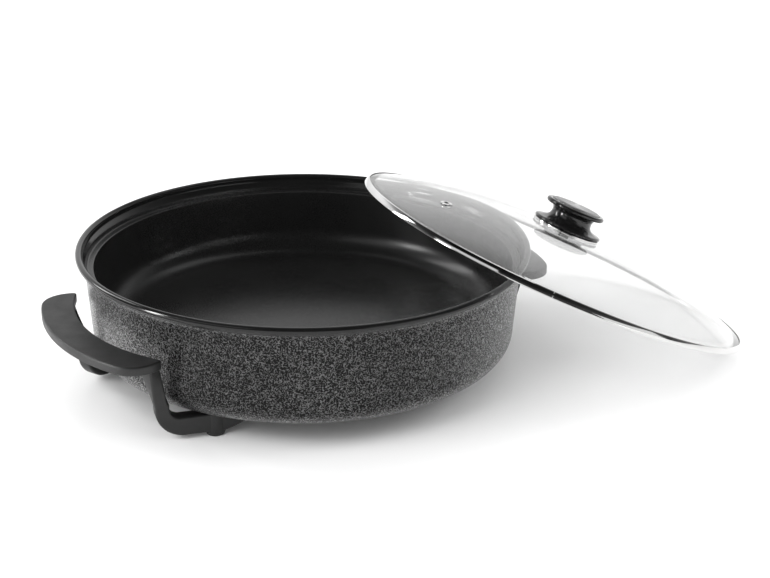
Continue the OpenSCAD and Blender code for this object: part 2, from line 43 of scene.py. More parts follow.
# ------------------------------------------------------------------ layout (millimetres)
PX, PY = -93.2, -36.8
INLET_AZ, HANDLE_AZ, LEG_SHIFT = 124.2, -145.8, 3.2
INLET_Z = 31.0
LID_R, BAND_H, DOME_H, DOME_P, GLASS_T = 194.5, 5.8, 29.0, 2.3, 4.0
GLASS_R = LID_R - 1.6


def dome_z(r):
    return DOME_H * (1 - (r / GLASS_R) ** DOME_P) + BAND_H / 2 - 1


APEX = dome_z(0)


def T(x, y, z):
    return Matrix.Translation((x, y, z))


def R(a, axis):
    return Matrix.Rotation(rad(a), 4, axis)


PAN = T(PX, PY, 0)


def AZ(a):
    return PAN @ R(a, "Z")


INLET = AZ(INLET_AZ)
LID = PAN @ T(234.4, 61.8, 80.9) @ R(20.36, "Z") @ R(23.72, "Y")
KNOB = LID @ T(0, 0, APEX)

# ------------------------------------------------------------------ mesh helpers


def arc(cx, cy, r, a, b, n=8):
    return [
        (cx + r * math.cos(rad(a + (b - a) * i / n)), cy + r * math.sin(rad(a + (b - a) * i / n)))
        for i in range(n + 1)
    ]


def rounded(pts, closed=True, step=9.0):
    """pts of (x, y) or (x, y, r): each corner with r gets an arc of that radius."""
    out, n = [], len(pts)
    for i, p in enumerate(pts):
        r = p[2] if len(p) > 2 else 0
        if r <= 0 or (not closed and i in (0, n - 1)):
            out.append((p[0], p[1]))
            continue
        a, b = pts[i - 1], pts[(i + 1) % n]
        v = np.array(p[:2], float)
        u, w = np.array(a[:2], float) - v, np.array(b[:2], float) - v
        lu, lw = np.linalg.norm(u), np.linalg.norm(w)
        if lu < 1e-6 or lw < 1e-6:
            out.append((p[0], p[1]))
            continue
        u, w = u / lu, w / lw
        ang = math.acos(max(-1, min(1, float(u @ w))))
        if ang > math.pi - 1e-3:
            out.append((p[0], p[1]))
            continue
        d = min(r / math.tan(ang / 2), 0.48 * lu, 0.48 * lw)
        r = d * math.tan(ang / 2)
        c = v + (u + w) / np.linalg.norm(u + w) * (r / math.sin(ang / 2))
        s, e = v + u * d - c, v + w * d - c
        a0, a1 = math.atan2(s[1], s[0]), math.atan2(e[1], e[0])
        da = (a1 - a0 + math.pi) % (2 * math.pi) - math.pi
        k = max(2, int(abs(math.degrees(da)) / step) + 1)
        out += [(c[0] + r * math.cos(a0 + da * j / k), c[1] + r * math.sin(a0 + da * j / k)) for j in range(k + 1)]
    return out


def make(name, verts, faces, matrix=None, sharp=32):
    """A mesh object from millimetres, normals outward, smooth with sharp edges past an angle."""
    me = bpy.data.meshes.new(name)
    M = Matrix.Scale(MM, 4) @ (matrix or Matrix.Identity(4))
    A = np.array(M)
    v = np.asarray(verts, float)
    v = v @ A[:3, :3].T + A[:3, 3]
    me.from_pydata([tuple(p) for p in v], [], [tuple(int(i) for i in f) for f in faces])
    bm = bmesh.new()
    bm.from_mesh(me)
    bmesh.ops.remove_doubles(bm, verts=bm.verts, dist=2e-7)
    bmesh.ops.dissolve_degenerate(bm, dist=1e-7, edges=bm.edges)
    bmesh.ops.recalc_face_normals(bm, faces=bm.faces)
    bm.to_mesh(me)
    bm.free()
    finish_shading(me, sharp)
    o = bpy.data.objects.new(name, me)
    bpy.context.scene.collection.objects.link(o)
    return o


def finish_shading(me, sharp):
    me.shade_smooth()
    me.set_sharp_from_angle(angle=rad(sharp))


def lathe_data(prof, n=192, a0=0.0, a1=360.0, radius=None):
    """Revolve a closed loop of (r, z). radius(r, z, angle) may change the radius. With a1 - a0 < 360 the ends are capped."""
    full = a1 - a0 >= 359.999
    cols = n if full else n + 1
    verts, ring = [], []
    for r, z in prof:
        if r < 1e-4 and full:
            ring.append([len(verts)] * cols)
            verts.append((0, 0, z))
            continue
        row = []
        for j in range(cols):
            t = rad(a0 + (a1 - a0) * j / n)
            q = radius(r, z, t) if radius else r
            row.append(len(verts))
            verts.append((q * math.cos(t), q * math.sin(t), z))
        ring.append(row)
    faces, m = [], len(prof)
    for i in range(m):
        a, b = ring[i], ring[(i + 1) % m]
        for j in range(n):
            k = (j + 1) % cols
            f = []
            for q in (a[j], a[k], b[k], b[j]):
                if q not in f:
                    f.append(q)
            if len(f) > 2:
                faces.append(f)
    if not full:
        faces.append([ring[i][0] for i in range(m)][::-1])
        faces.append([ring[i][-1] for i in range(m)])
    return verts, faces


def lathe(name, prof, n=192, matrix=None, sharp=32, **kw):
    v, f = lathe_data(prof, n, **kw)
    return make(name, v, f, matrix, sharp)


def inset(outline, d):
    """The closed outline (counter-clockwise) moved in by d."""
    p = np.array(outline, float)
    a, b = np.roll(p, 1, 0), np.roll(p, -1, 0)
    e1, e2 = p - a, b - p
    e1 /= np.linalg.norm(e1, axis=1)[:, None] + 1e-12
    e2 /= np.linalg.norm(e2, axis=1)[:, None] + 1e-12
    n1 = np.stack([-e1[:, 1], e1[:, 0]], 1)
    n2 = np.stack([-e2[:, 1], e2[:, 0]], 1)
    s = n1 + n2
    s /= np.maximum((s * s).sum(1) / 2, 0.5)[:, None]
    return p + s * d


def ccw(outline):
    p = np.array(outline, float)
    q = np.roll(p, -1, 0)
    return outline if (p[:, 0] * q[:, 1] - q[:, 0] * p[:, 1]).sum() > 0 else outline[::-1]


def plate_data(outline, z0, z1, rt, rb, seg=6, extra=0.35):
    """A plate with its top and bottom edges rounded."""
    outline = ccw(outline)
    rings = [(rb + extra, z0)] if rb else []
    rings += [(rb - rb * math.sin(rad(90 * i / seg)), z0 + rb - rb * math.cos(rad(90 * i / seg))) for i in range(seg + 1)] if rb else [(0, z0)]
    rings += [(rt - rt * math.cos(rad(90 * i / seg)), z1 - rt + rt * math.sin(rad(90 * i / seg))) for i in range(seg + 1)] if rt else [(0, z1)]
    if rt:
        rings.append((rt + extra, z1))
    verts, faces, n = [], [], len(outline)
    for d, z in rings:
        verts += [(x, y, z) for x, y in inset(outline, d)]
    for k in range(len(rings) - 1):
        for i in range(n):
            j = (i + 1) % n
            faces.append((k * n + i, k * n + j, (k + 1) * n + j, (k + 1) * n + i))
    faces.append(tuple(range(n))[::-1])
    last = (len(rings) - 1) * n
    faces.append(tuple(range(last, last + n)))
    return verts, faces


def plate(name, outline, z0, z1, rt, rb, matrix=None, **kw):
    v, f = plate_data(outline, z0, z1, rt, rb, **kw)
    return make(name, v, f, matrix)


def rrect(w, h, r, n=6, cx=0, cy=0):
    out = []
    for sx, sy, a in ((1, -1, -90), (1, 1, 0), (-1, 1, 90), (-1, -1, 180)):
        out += arc(cx + sx * (w / 2 - r), cy + sy * (h / 2 - r), r, a, a + 90, n)
    return out


def loft(name, sections, matrix=None):
    """Closed solid through same-length 3-D sections."""
    n, verts, faces = len(sections[0]), [], []
    for s in sections:
        verts += [tuple(p) for p in s]
    for k in range(len(sections) - 1):
        for i in range(n):
            j = (i + 1) % n
            faces.append((k * n + i, k * n + j, (k + 1) * n + j, (k + 1) * n + i))
    faces.append(tuple(range(n))[::-1])
    faces.append(tuple(range((len(sections) - 1) * n, len(sections) * n)))
    return make(name, verts, faces, matrix)


def boolean(a, others, op="UNION", sharp=32):
    """a with others joined or cut, applied; others are removed."""
    for b in others:
        m = a.modifiers.new("b", "BOOLEAN")
        m.operation, m.solver, m.object = op, "EXACT", b
        bpy.context.view_layer.update()
        dg = bpy.context.evaluated_depsgraph_get()
        me = bpy.data.meshes.new_from_object(a.evaluated_get(dg))
        a.modifiers.clear()
        old = a.data
        a.data = me
        bpy.data.meshes.remove(old)
        old = b.data
        bpy.data.objects.remove(b)
        bpy.data.meshes.remove(old)
    bm = bmesh.new()
    bm.from_mesh(a.data)
    bmesh.ops.remove_doubles(bm, verts=bm.verts, dist=2e-6)
    bmesh.ops.dissolve_degenerate(bm, dist=2e-6, edges=bm.edges)
    bm.to_mesh(a.data)
    bm.free()
    a.data.materials.clear()
    finish_shading(a.data, sharp)
    return a


def cyl(r, h, n=48, matrix=None, r2=None, ch=0.0):
    r2 = r if r2 is None else r2
    prof = [(0, 0), (r - ch, 0), (r, ch), (r2, h - ch), (r2 - ch, h), (0, h)] if ch else [(0, 0), (r, 0), (r2, h), (0, h)]
    return lathe("tool", prof, n, matrix)


def box_tool(x0, y0, z0, x1, y1, z1, matrix=None):
    v = [(x, y, z) for x in (x0, x1) for y in (y0, y1) for z in (z0, z1)]
    f = [(0, 1, 3, 2), (4, 6, 7, 5), (0, 4, 5, 1), (2, 3, 7, 6), (0, 2, 6, 4), (1, 5, 7, 3)]
    return make("tool", v, f, matrix)


def soft_copy(name, node, width, seg=2, angle=35, sharp=40):
    """A copy of a CAD node's mesh with its real edges eased."""
    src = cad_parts[node]
    me = src.data.copy()
    me.name = name
    bm = bmesh.new()
    bm.from_mesh(me)
    bmesh.ops.remove_doubles(bm, verts=bm.verts, dist=3e-6)
    bmesh.ops.dissolve_limit(bm, angle_limit=rad(0.6), verts=bm.verts, edges=bm.edges)
    edges = [e for e in bm.edges if len(e.link_faces) == 2 and e.calc_face_angle(0) > rad(angle)]
    bmesh.ops.bevel(bm, geom=edges, offset=width * MM, segments=seg, profile=0.5, affect="EDGES", clamp_overlap=True)
    bmesh.ops.remove_doubles(bm, verts=bm.verts, dist=2e-6)
    bmesh.ops.recalc_face_normals(bm, faces=bm.faces)
    for e in bm.edges:
        e.smooth = True
    bm.to_mesh(me)
    bm.free()
    me.materials.clear()
    finish_shading(me, sharp)
    o = bpy.data.objects.new(name, me)
    bpy.context.scene.collection.objects.link(o)
    return o


def piece(o, name, mats, slot, body, *nodes):
    o.name = name
    o.data.name = name
    o.data.materials.clear()
    for m in mats if isinstance(mats, (list, tuple)) else [mats]:
        o.data.materials.append(m)
    if nodes:
        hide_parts(*nodes)
    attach(o, body)
    return o


# ------------------------------------------------------------------ materials


class Mat:
    def __init__(self, name):
        self.m = bpy.data.materials.new(name)
        self.m.use_nodes = True
        self.nt = self.m.node_tree
        self.nt.nodes.clear()
        self.out = self.add("ShaderNodeOutputMaterial")
        self.p = self.add("ShaderNodeBsdfPrincipled")
        self.link(self.p.outputs[0], self.out.inputs[0])
        self.obj = self.add("ShaderNodeTexCoord").outputs["Object"]

    def add(self, kind, **props):
        n = self.nt.nodes.new(kind)
        for k, v in props.items():
            setattr(n, k, v)
        return n

    def link(self, a, b):
        self.nt.links.new(a, b)

    def set(self, **kw):
        for k, v in kw.items():
            self.p.inputs[k.replace("_", " ")].default_value = v
        return self

    def math(self, op, a, b=None, clamp=False):
        n = self.add("ShaderNodeMath", operation=op, use_clamp=clamp)
        for s, v in zip(n.inputs, (a, b)):
            if v is None:
                continue
            if isinstance(v, (int, float)):
                s.default_value = v
            else:
                self.link(v, s)
        return n.outputs[0]

    def scaled(self, x, y, z, vec=None):
        n = self.add("ShaderNodeVectorMath", operation="MULTIPLY")
        self.link(vec or self.obj, n.inputs[0])
        n.inputs[1].default_value = (x, y, z)
        return n.outputs[0]

    def noise(self, scale, detail=3, rough=0.5, vec=None, dist=0.0):
        n = self.add("ShaderNodeTexNoise")
        n.inputs["Scale"].default_value = scale
        n.inputs["Detail"].default_value = detail
        n.inputs["Roughness"].default_value = rough
        n.inputs["Distortion"].default_value = dist
        self.link(vec or self.obj, n.inputs["Vector"])
        return n.outputs[0]

    def voronoi(self, scale, feature="F1", vec=None, smooth=None, rand=1.0):
        n = self.add("ShaderNodeTexVoronoi", feature=feature)
        n.inputs["Scale"].default_value = scale
        n.inputs["Randomness"].default_value = rand
        if smooth is not None and "Smoothness" in n.inputs:
            n.inputs["Smoothness"].default_value = smooth
        self.link(vec or self.obj, n.inputs["Vector"])
        return n.outputs["Distance"]

    def ramp(self, fac, stops, interp="LINEAR"):
        n = self.add("ShaderNodeValToRGB")
        n.color_ramp.interpolation = interp
        e = n.color_ramp.elements
        while len(e) > 1:
            e.remove(e[-1])
        for i, (pos, col) in enumerate(stops):
            s = e[0] if i == 0 else e.new(pos)
            s.position = pos
            c = col if isinstance(col, (tuple, list)) else (col, col, col)
            s.color = (*c, 1)
        self.link(fac, n.inputs[0])
        return n.outputs[0]

    def range(self, v, a, b, c, d, smooth=False):
        n = self.add("ShaderNodeMapRange")
        if smooth:
            n.interpolation_type = "SMOOTHSTEP"
        for i, x in enumerate((a, b, c, d)):
            n.inputs[i + 1].default_value = x
        self.link(v, n.inputs[0])
        return n.outputs[0]

    def mixc(self, fac, a, b):
        n = self.add("ShaderNodeMix", data_type="RGBA")
        for s, v in ((n.inputs[0], fac), (n.inputs[6], a), (n.inputs[7], b)):
            if isinstance(v, (int, float)):
                s.default_value = v
            elif isinstance(v, (tuple, list)):
                s.default_value = (*v, 1)
            else:
                self.link(v, s)
        return n.outputs[2]

    def mixf(self, fac, a, b):
        n = self.add("ShaderNodeMix", data_type="FLOAT")
        for s, v in ((n.inputs[0], fac), (n.inputs[2], a), (n.inputs[3], b)):
            if isinstance(v, (int, float)):
                s.default_value = v
            else:
                self.link(v, s)
        return n.outputs[0]

    def bump(self, height, strength, dist, normal=None):
        n = self.add("ShaderNodeBump")
        n.inputs["Strength"].default_value = strength
        n.inputs["Distance"].default_value = dist
        self.link(height, n.inputs["Height"])
        if normal is not None:
            self.link(normal, n.inputs["Normal"])
        return n.outputs[0]

    def color(self, s):
        self.link(s, self.p.inputs["Base Color"])
        return self

    def rough(self, s):
        self.link(s, self.p.inputs["Roughness"])
        return self

    def normal(self, s):
        self.link(s, self.p.inputs["Normal"])
        return self

    def xyz(self, vec=None):
        n = self.add("ShaderNodeSeparateXYZ")
        self.link(vec or self.obj, n.inputs[0])
        return n.outputs


def grey(v, warm=0.0):
    return (v * (1 + warm), v, v * (1 - warm))


def mat_nonstick():
    m = Mat("finish_nonstick_black").set(Metallic=0.0, IOR=1.42)
    cloud = m.noise(9, 3, 0.6)
    grain = m.noise(1400, 2, 0.5)
    orange = m.noise(260, 2, 0.5)
    flecks = m.ramp(m.noise(2600, 1, 0.4), [(0.0, 0.0), (0.66, 0.0), (0.78, 1.0)])
    base = m.mixc(m.range(cloud, 0.3, 0.7, 0, 1), grey(0.0045), grey(0.007))
    m.color(m.mixc(m.math("MULTIPLY", flecks, 0.35), base, grey(0.045)))
    # the rolled lip, out past the ledge, is smoother and glossier than the cooking surface
    x, y = m.xyz()[0], m.xyz()[1]
    r2 = m.math("ADD", m.math("POWER", m.math("SUBTRACT", x, PX * MM), 2), m.math("POWER", m.math("SUBTRACT", y, PY * MM), 2))
    lip = m.range(m.math("SQRT", r2), 0.1955, 0.1975, 0, 1, True)
    rough = m.math("ADD", m.range(cloud, 0.3, 0.7, 0.24, 0.32), m.range(grain, 0.3, 0.7, -0.03, 0.03))
    m.rough(m.mixf(lip, rough, m.range(orange, 0.3, 0.7, 0.10, 0.15)))
    m.normal(m.bump(orange, 0.06, 0.0003, m.bump(grain, 0.10, 0.00006)))
    return m.m


def mat_hammer():
    """Hammertone paint: short worm-like grey ridges over a near-black ground, the grey partly the paint's own and
    partly a painted highlight on the ridge tops; smooth gloss black on the hem.
    """
    m = Mat("finish_hammertone_grey").set(Metallic=0.7, IOR=1.45, Coat_Weight=0.22, Coat_Roughness=0.14, Coat_IOR=1.45)
    warp = m.add("ShaderNodeTexNoise")
    warp.inputs["Scale"].default_value = 380
    warp.inputs["Detail"].default_value = 1
    m.link(m.obj, warp.inputs["Vector"])
    off = m.add("ShaderNodeVectorMath", operation="MULTIPLY_ADD")
    m.link(warp.outputs["Color"], off.inputs[0])
    off.inputs[1].default_value = (0.0009, 0.0009, 0.0009)
    m.link(m.obj, off.inputs[2])
    vec = off.outputs[0]
    fold = m.noise(520, 1.0, 0.35, vec)
    worm = m.math("SUBTRACT", 1.0, m.math("MULTIPLY", m.math("ABSOLUTE", m.math("SUBTRACT", fold, 0.5)), 10.5), clamp=True)
    gap = m.range(m.noise(800, 1, 0.5, vec), 0.36, 0.52, 0.1, 1.0, True)
    ridge = m.range(m.math("MULTIPLY", worm, gap), 0.12, 0.70, 0, 1, True)
    cloud = m.noise(12, 3, 0.6)
    z = m.xyz()[2]
    wall = m.range(z, 0.1090, 0.1097, 1, 0)
    # painted highlight: the ridge tops get a light grey, partly the paint's own grey and partly standing in for light
    # caught on the relief
    light = m.mixc(m.range(cloud, 0.3, 0.7, 0, 1), grey(0.15), grey(0.21))
    # painted reflection: the colour of ridges and ground is lightened where the wall turns from the view, a painted
    # stand-in for the bright grazing reflection along the wall's edges
    turn = m.add("ShaderNodeLayerWeight")
    turn.inputs["Blend"].default_value = 0.5
    painted_rim_sheen = m.range(turn.outputs["Facing"], 0.28, 0.80, 0, 1, True)
    light = m.mixc(painted_rim_sheen, light, grey(0.52))
    dark = m.mixc(painted_rim_sheen, grey(0.004), grey(0.05))
    m.color(m.mixc(wall, grey(0.007), m.mixc(ridge, dark, light)))
    m.rough(m.mixf(wall, 0.2, m.range(ridge, 0, 1, 0.34, 0.30)))
    m.normal(m.bump(m.math("MULTIPLY", m.math("ADD", ridge, m.math("MULTIPLY", fold, 0.8)), wall), 1.0, 0.0011))
    m.link(m.math("MULTIPLY", wall, 0.92), m.p.inputs["Metallic"])
    return m.m


def mat_phenolic():
    m = Mat("finish_phenolic_black").set(Metallic=0.0, IOR=1.5)
    cloud = m.noise(22, 4, 0.6)
    grain = m.noise(2400, 2, 0.55)
    flow = m.noise(60, 3, 0.5, m.scaled(1, 1, 3))
    specks = m.ramp(m.noise(1500, 1, 0.3), [(0.0, 0.0), (0.68, 0.0), (0.76, 1.0)])
    base = m.mixc(m.range(cloud, 0.3, 0.7, 0, 1), grey(0.006), grey(0.0095))
    m.color(m.mixc(m.math("MULTIPLY", specks, 0.3), base, grey(0.05)))
    m.rough(m.math("ADD", m.range(flow, 0.3, 0.7, 0.40, 0.50), m.range(grain, 0.3, 0.7, -0.04, 0.04)))
    m.normal(m.bump(grain, 0.16, 0.00009, m.bump(flow, 0.05, 0.0004)))
    return m.m


def mat_gloss():
    m = Mat("finish_gloss_black").set(Metallic=0.0, IOR=1.52)
    cloud = m.noise(60, 3, 0.6)
    dust = m.ramp(m.noise(1800, 2, 0.6), [(0.0, 0.0), (0.62, 0.0), (0.8, 1.0)])
    m.color(m.mixc(m.math("MULTIPLY", dust, 0.10), grey(0.006), grey(0.07)))
    m.rough(m.math("ADD", m.range(cloud, 0.3, 0.7, 0.10, 0.16), m.math("MULTIPLY", dust, 0.12)))
    m.normal(m.bump(m.noise(420, 2, 0.5), 0.05, 0.0002))
    return m.m


def mat_steel(name="finish_polished_steel", col=0.72, r0=0.05, r1=0.11):
    m = Mat(name).set(Metallic=1.0)
    cloud = m.noise(45, 3, 0.6)
    lines = m.noise(900, 2, 0.6, m.scaled(0.06, 0.06, 1.0))
    scratch = m.ramp(m.noise(1300, 3, 0.7, m.scaled(1.0, 0.08, 0.5)), [(0.0, 0.0), (0.6, 0.0), (0.72, 1.0)])
    m.color(m.mixc(m.range(cloud, 0.3, 0.7, 0, 1), grey(col * 0.94, 0.004), grey(col, 0.004)))
    m.rough(m.math("ADD", m.range(cloud, 0.3, 0.7, r0, r1), m.math("MULTIPLY", scratch, 0.06)))
    m.normal(m.bump(lines, 0.05, 0.00004))
    return m.m


def mat_cap():
    """Knob inset: smoked metal turned in fine rings."""
    m = Mat("finish_silver_cap").set(Metallic=1.0, Anisotropic=0.85)
    # local radius from the knob's own axis, which leans with the lid
    A = np.array(KNOB.to_3x3())
    c = KNOB.translation * MM
    rel = m.add("ShaderNodeVectorMath", operation="SUBTRACT")
    m.link(m.obj, rel.inputs[0])
    rel.inputs[1].default_value = c
    dots = []
    for k in (0, 1):
        d = m.add("ShaderNodeVectorMath", operation="DOT_PRODUCT")
        m.link(rel.outputs[0], d.inputs[0])
        d.inputs[1].default_value = tuple(float(x) for x in A[:, k])
        dots.append(d.outputs["Value"])
    r = m.math("SQRT", m.math("ADD", m.math("POWER", dots[0], 2), m.math("POWER", dots[1], 2)))
    comb = m.add("ShaderNodeCombineXYZ")
    m.link(r, comb.inputs[0])
    ring = m.noise(1900, 3, 0.7, comb.outputs[0])
    broad = m.noise(260, 2, 0.5, comb.outputs[0])
    cross = m.add("ShaderNodeVectorMath", operation="CROSS_PRODUCT")
    cross.inputs[0].default_value = tuple(float(x) for x in A[:, 2])
    m.link(rel.outputs[0], cross.inputs[1])
    norm = m.add("ShaderNodeVectorMath", operation="NORMALIZE")
    m.link(cross.outputs[0], norm.inputs[0])
    m.link(norm.outputs[0], m.p.inputs["Tangent"])
    m.color(m.mixc(m.range(ring, 0.3, 0.7, 0, 1), grey(0.19), grey(0.40)))
    m.rough(m.range(broad, 0.3, 0.7, 0.20, 0.30))
    m.normal(m.bump(ring, 0.25, 0.00008))
    return m.m


def mat_glass():
    m = Mat("finish_clear_glass")
    m.set(Transmission_Weight=1.0, IOR=1.5)
    smear = m.noise(16, 4, 0.6)
    m.color(m.mixc(m.range(smear, 0.3, 0.7, 0, 1), (0.918, 0.921, 0.919), (0.928, 0.931, 0.930)))
    m.rough(m.range(m.noise(30, 3, 0.6), 0.45, 0.75, 0.0, 0.012))
    clear = m.add("ShaderNodeBsdfTransparent")
    clear.inputs[0].default_value = (0.885, 0.885, 0.885, 1)
    path = m.add("ShaderNodeLightPath")
    mix = m.add("ShaderNodeMixShader")
    m.link(path.outputs["Is Shadow Ray"], mix.inputs[0])
    m.link(m.p.outputs[0], mix.inputs[1])
    m.link(clear.outputs[0], mix.inputs[2])
    m.link(mix.outputs[0], m.out.inputs[0])
    return m.m


def mat_simple(name, base, spread, metal, r0, r1, scale=30, grain=1200, gs=0.12, gd=0.00006, **kw):
    m = Mat(name).set(Metallic=metal, **kw)
    cloud = m.noise(scale, 4, 0.6)
    g = m.noise(grain, 2, 0.55)
    lo = tuple(c * (1 - spread) for c in base)
    hi = tuple(min(1, c * (1 + spread)) for c in base)
    m.color(m.mixc(m.range(cloud, 0.3, 0.7, 0, 1), lo, hi))
    m.rough(m.math("ADD", m.range(cloud, 0.3, 0.7, r0, r1), m.range(g, 0.3, 0.7, -0.03, 0.03)))
    m.normal(m.bump(g, gs, gd))
    return m.m


def mat_spangle():
    """Zinc plate with its faint spangle."""
    m = Mat("finish_zinc_steel").set(Metallic=1.0)
    v = m.add("ShaderNodeTexVoronoi")
    v.inputs["Scale"].default_value = 260
    m.link(m.obj, v.inputs["Vector"])
    tone = m.range(m.xyz(v.outputs["Color"])[0], 0, 1, 0, 1)
    m.color(m.mixc(tone, (0.48, 0.485, 0.49), (0.62, 0.625, 0.62)))
    m.rough(m.math("ADD", m.range(tone, 0, 1, 0.28, 0.42), m.range(m.noise(90, 3), 0.3, 0.7, -0.03, 0.05)))
    m.normal(m.bump(m.noise(700, 2), 0.12, 0.0001))
    return m.m


def mat_lens():
    m = Mat("finish_amber_lens").set(Transmission_Weight=0.55, IOR=1.49, Roughness=0.12)
    g = m.noise(300, 2)
    m.color(m.mixc(m.range(g, 0.3, 0.7, 0, 1), (0.62, 0.10, 0.015), (0.75, 0.16, 0.03)))
    m.rough(m.range(g, 0.3, 0.7, 0.08, 0.2))
    m.normal(m.bump(m.voronoi(1100, "F1"), 0.25, 0.0002))
    return m.m


def mat_sheath():
    m = Mat("finish_element_sheath").set(Metallic=0.9)
    c = m.noise(60, 4, 0.6)
    m.color(m.ramp(c, [(0.3, (0.12, 0.115, 0.11)), (0.5, (0.2, 0.185, 0.165)), (0.7, (0.28, 0.235, 0.18))]))
    m.rough(m.range(c, 0.3, 0.7, 0.42, 0.6))
    m.normal(m.bump(m.noise(900, 3), 0.2, 0.0001))
    return m.m


M = {
    "nonstick_black": mat_nonstick(),
    "hammertone_grey": mat_hammer(),
    "phenolic_black": mat_phenolic(),
    "gloss_black": mat_gloss(),
    "polished_steel": mat_steel(),
    "silver_cap": mat_cap(),
    "clear_glass": mat_glass(),
    "amber_lens": mat_lens(),
    "zinc_steel": mat_spangle(),
    "element_sheath": mat_sheath(),
    "nickel_plate": mat_steel("finish_nickel_plate", 0.62, 0.14, 0.22),
    "raw_aluminium": mat_simple("finish_raw_aluminium", (0.62, 0.63, 0.645), 0.06, 1.0, 0.34, 0.46, 25, 900, 0.2, 0.0001),
    "rubber_black": mat_simple("finish_rubber_black", (0.018, 0.018, 0.0185), 0.25, 0.0, 0.55, 0.72, 40, 1500, 0.3, 0.00012),
    "clear_silicone": mat_simple("finish_clear_silicone", (0.62, 0.63, 0.63), 0.05, 0.0, 0.35, 0.45, 60, 1200, 0.1, 0.00006, IOR=1.41),
    "brass": mat_simple("finish_brass", (0.60, 0.44, 0.19), 0.08, 1.0, 0.22, 0.34, 50, 1100, 0.12, 0.00006),
    "ceramic": mat_simple("finish_ceramic", (0.72, 0.68, 0.58), 0.05, 0.0, 0.45, 0.6, 50, 900, 0.25, 0.0001),
    "controller_black": mat_simple("finish_controller_black", (0.016, 0.016, 0.0165), 0.2, 0.0, 0.36, 0.46, 30, 1900, 0.22, 0.00012, IOR=1.5),
}
M["print_pale"] = mat_simple("finish_print_pale", (0.62, 0.62, 0.6), 0.06, 0.0, 0.45, 0.55, 120, 1500, 0.12, 0.00004)

for name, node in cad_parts.items():
    for i, s in enumerate(node.material_slots):
        key = s.material.name.split(".")[0] if s.material else ""
        if key in M:
            node.data.materials[i] = M[key]

# ------------------------------------------------------------------ pan and shell
pan_prof = (
    [(0, 41.5), (40, 41.5), (80, 41.5), (120, 41.5), (150, 41.5)]
    + arc(162.6, 65.5, 24, -90, 0, 22)
    + [(187.6, 79.0), (188.4, 90.0)]
    + arc(190.4, 101.3, 1.2, 176, 90, 7)
    + arc(193.8, 104.1, 1.6, -90, -4, 7)
    + rounded([(195.45, 104.4), (196.2, 107.2, 5.0), (198.7, 111.2, 4.0), (199.12, 113.6)], closed=False, step=6)
    + arc(202, 115, 3, 196, -112, 44)
    + rounded([(200.6, 112.1), (197.15, 107.3, 4.0), (196.45, 103.4, 2.5), (194.9, 101.1, 1.5), (191.0, 99.9, 1.0), (190.2, 97.0)], closed=False, step=8)
    + [(188.3, 66.0)]
    + [(162.6 + (25.7 + 1.8 * i / 20) * math.cos(rad(-90 * i / 20)), 65.5 + (25.7 + 1.8 * i / 20) * math.sin(rad(-90 * i / 20))) for i in range(21)]
    + [(150, 38), (0, 38)]
)
pan = lathe("cooking_pan_body", pan_prof, 320, PAN, sharp=60)
piece(pan, "cooking_pan_body", M["nonstick_black"], "nonstick_black", "base", "cooking_pan")

outer = rounded(
    [(201.75, 111.7), (198.35, 107.2, 5.0), (197.3, 103.6, 10.0), (192.8, 42.5)], closed=False, step=4
)
side = [(outer[-2][0] + (192.8 - outer[-2][0]) * i / 10, outer[-2][1] + (42.5 - outer[-2][1]) * i / 10) for i in range(1, 10)]
outer = outer[:-1] + side
inner = [(x - 0.7, z + 0.1) for x, z in outer][::-1]
shell_prof = (
    outer
    + arc(171.4, 42.5, 21.4, 0, -90, 18)
    + [(120, 21.1), (60, 21.1), (0, 21.1), (0, 21.8), (60, 21.8), (120, 21.8)]
    + arc(171.4, 42.5, 20.7, -90, 0, 18)
    + inner
)
shell = lathe("outer_skin", shell_prof, 320, PAN, sharp=50)
cuts = [box_tool(179.6, -31.4, 5, 219.6, 31.4, 43.9, INLET)]
for a in (60, 180, 300):
    cuts.append(cyl(3.2, 4, 32, INLET @ R(a, "Z") @ T(110, 0, 20.1)))
POSTS = [AZ(HANDLE_AZ + LEG_SHIFT + h) @ T(146.4, s * 81.5, 0) for h in (0, 180) for s in (-1, 1)]
for P in POSTS:
    cuts.append(cyl(2.7, 5, 32, P @ T(0, 0, 20.1)))
boolean(shell, cuts, "DIFFERENCE", sharp=50)
piece(shell, "outer_skin", M["hammertone_grey"], "hammertone_grey", "base", "outer_shell")

# ------------------------------------------------------------------ handles
GRIP_Z, GRIP_T, GRIP_HALF = 76.8, 8.0, 25.0


def grip_r(rho, t):
    return 52.5 * math.cos(t) + math.sqrt(rho * rho - (52.5 * math.sin(t)) ** 2)


def corner_cut(s, rc):
    return rc - math.sqrt(max(rc * rc - (rc - s) ** 2, 0)) if s < rc else 0


def grip_outline(n=64):
    # finer steps towards the ends, where the corners are
    ts = [GRIP_HALF * math.sin(rad(-90 + 180 * i / n)) for i in range(n + 1)]
    inner_, outer_ = [], []
    for t in ts:
        tr = rad(t)
        r = grip_r(159.3, tr)
        s = (GRIP_HALF - abs(t)) * r * math.pi / 180
        q = r + corner_cut(s, 3)
        inner_.append((q * math.cos(tr), q * math.sin(tr)))
        r = grip_r(188.1, tr)
        s = (GRIP_HALF - abs(t)) * r * math.pi / 180
        q = r - corner_cut(s, 24)
        outer_.append((q * math.cos(tr), q * math.sin(tr)))
    pts = inner_ + outer_[::-1]
    out = []
    for p in pts:
        if not out or math.dist(p, out[-1]) > 0.25:
            out.append(p)
    if math.dist(out[0], out[-1]) < 0.25:
        out.pop()
    # ease the corners a little so that the edge rounding can follow them
    for _ in range(3):
        q = np.array(out)
        q = (np.roll(q, 1, 0) + 2 * q + np.roll(q, -1, 0)) / 4
        out = [tuple(p) for p in q]
    return out


